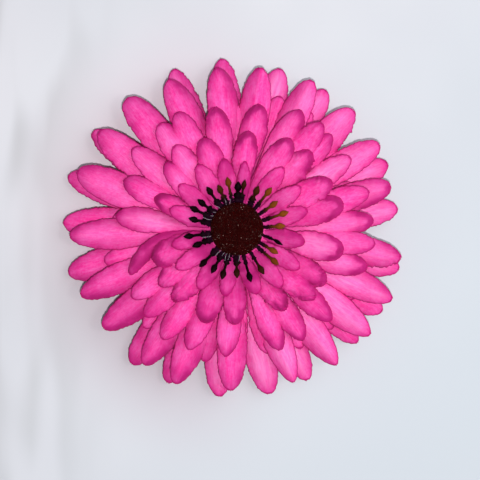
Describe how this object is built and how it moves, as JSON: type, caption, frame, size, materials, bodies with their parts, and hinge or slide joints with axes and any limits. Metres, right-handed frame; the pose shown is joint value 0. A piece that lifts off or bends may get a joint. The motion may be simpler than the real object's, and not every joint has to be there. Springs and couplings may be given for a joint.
{
  "type": "artificial zinnia flower head",
  "caption": "Open fabric zinnia head: layered sheets of long round-tipped pink petals round a ring of dark stamens and a domed maroon button, pinned to a low cap at the back.",
  "frame": {"origin": "middle of the flat back of the cap, on which the flower head rests", "axes": "+Z out of the open face of the flower, along the pin; +X to the right and +Y up in the picture"},
  "size_m": [0.1111, 0.1115, 0.02],
  "materials": {
    "petals": "matt heat-pressed woven fabric, hot pink, darker towards the curled tips and edges",
    "stamens": "near-black moulded plastic with olive-brown tips on one side",
    "button": "dark maroon flock with fine pale specks",
    "pin": "translucent white moulded plastic, out of sight",
    "cap": null
  },
  "bodies": {
    "root": {"petal_sheet_1": "petals", "petal_sheet_2": "petals", "petal_sheet_3": "petals", "petal_sheet_4": "petals", "petal_sheet_5": "petals", "petal_sheet_6": "petals", "stamen_ring": "stamens", "centre_button": "button", "pin": "pin", "back_cap": "cap"}
  },
  "joints": []
}
